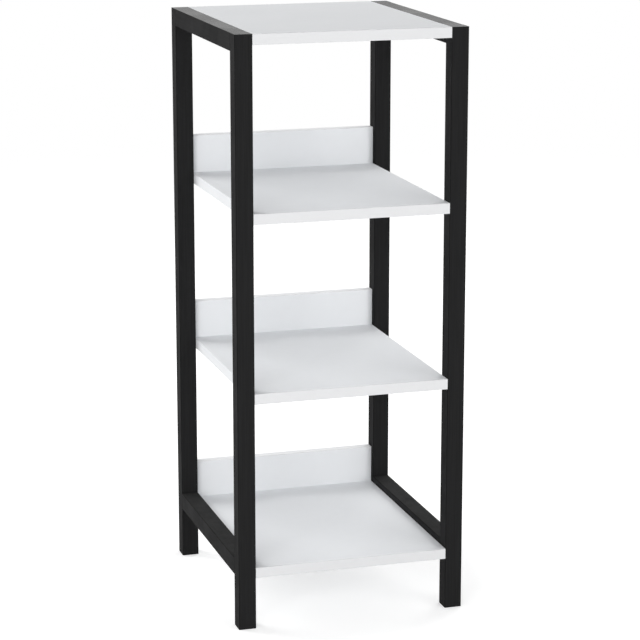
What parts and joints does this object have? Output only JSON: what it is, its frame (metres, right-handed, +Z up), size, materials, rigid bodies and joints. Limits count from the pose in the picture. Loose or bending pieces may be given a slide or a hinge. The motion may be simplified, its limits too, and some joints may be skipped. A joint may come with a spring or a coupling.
{
  "type": "shelving unit",
  "caption": "Free-standing open shelving unit: black square-section side frames carry white boards, the shelves below the top with a low rail along the back.",
  "frame": {"origin": "on the floor under the middle of the unit", "axes": "+X to the right seen from the front, +Y from the open front to the back rails, +Z up"},
  "size_m": [0.4, 0.432, 1.01],
  "materials": {
    "black_lacquer": "satin black lacquer on wood",
    "white_board": "white melamine on board, low sheen",
    "bolt_steel": "zinc-plated steel",
    "cam_zinc": "die-cast zinc",
    "dowel_beech": "plain beech"
  },
  "bodies": {
    "root": {"left_front_post": "black_lacquer", "left_rear_post": "black_lacquer", "left_top_rail": "black_lacquer", "left_lower_rail": "black_lacquer", "right_front_post": "black_lacquer", "right_rear_post": "black_lacquer", "right_top_rail": "black_lacquer", "right_lower_rail": "black_lacquer", "top_board": "white_board", "upper_shelf": "white_board", "middle_shelf": "white_board", "bottom_shelf": "white_board", "upper_back_rail": "white_board", "middle_back_rail": "white_board", "bottom_back_rail": "white_board", "top_board_cam_bolts": "bolt_steel", "upper_shelf_cam_bolts": "bolt_steel", "middle_shelf_cam_bolts": "bolt_steel", "bottom_shelf_cam_bolts": "bolt_steel", "top_board_cams": "cam_zinc", "upper_shelf_cams": "cam_zinc", "middle_shelf_cams": "cam_zinc", "bottom_shelf_cams": "cam_zinc", "upper_back_rail_dowels": "dowel_beech", "middle_back_rail_dowels": "dowel_beech", "bottom_back_rail_dowels": "dowel_beech"}
  },
  "joints": []
}
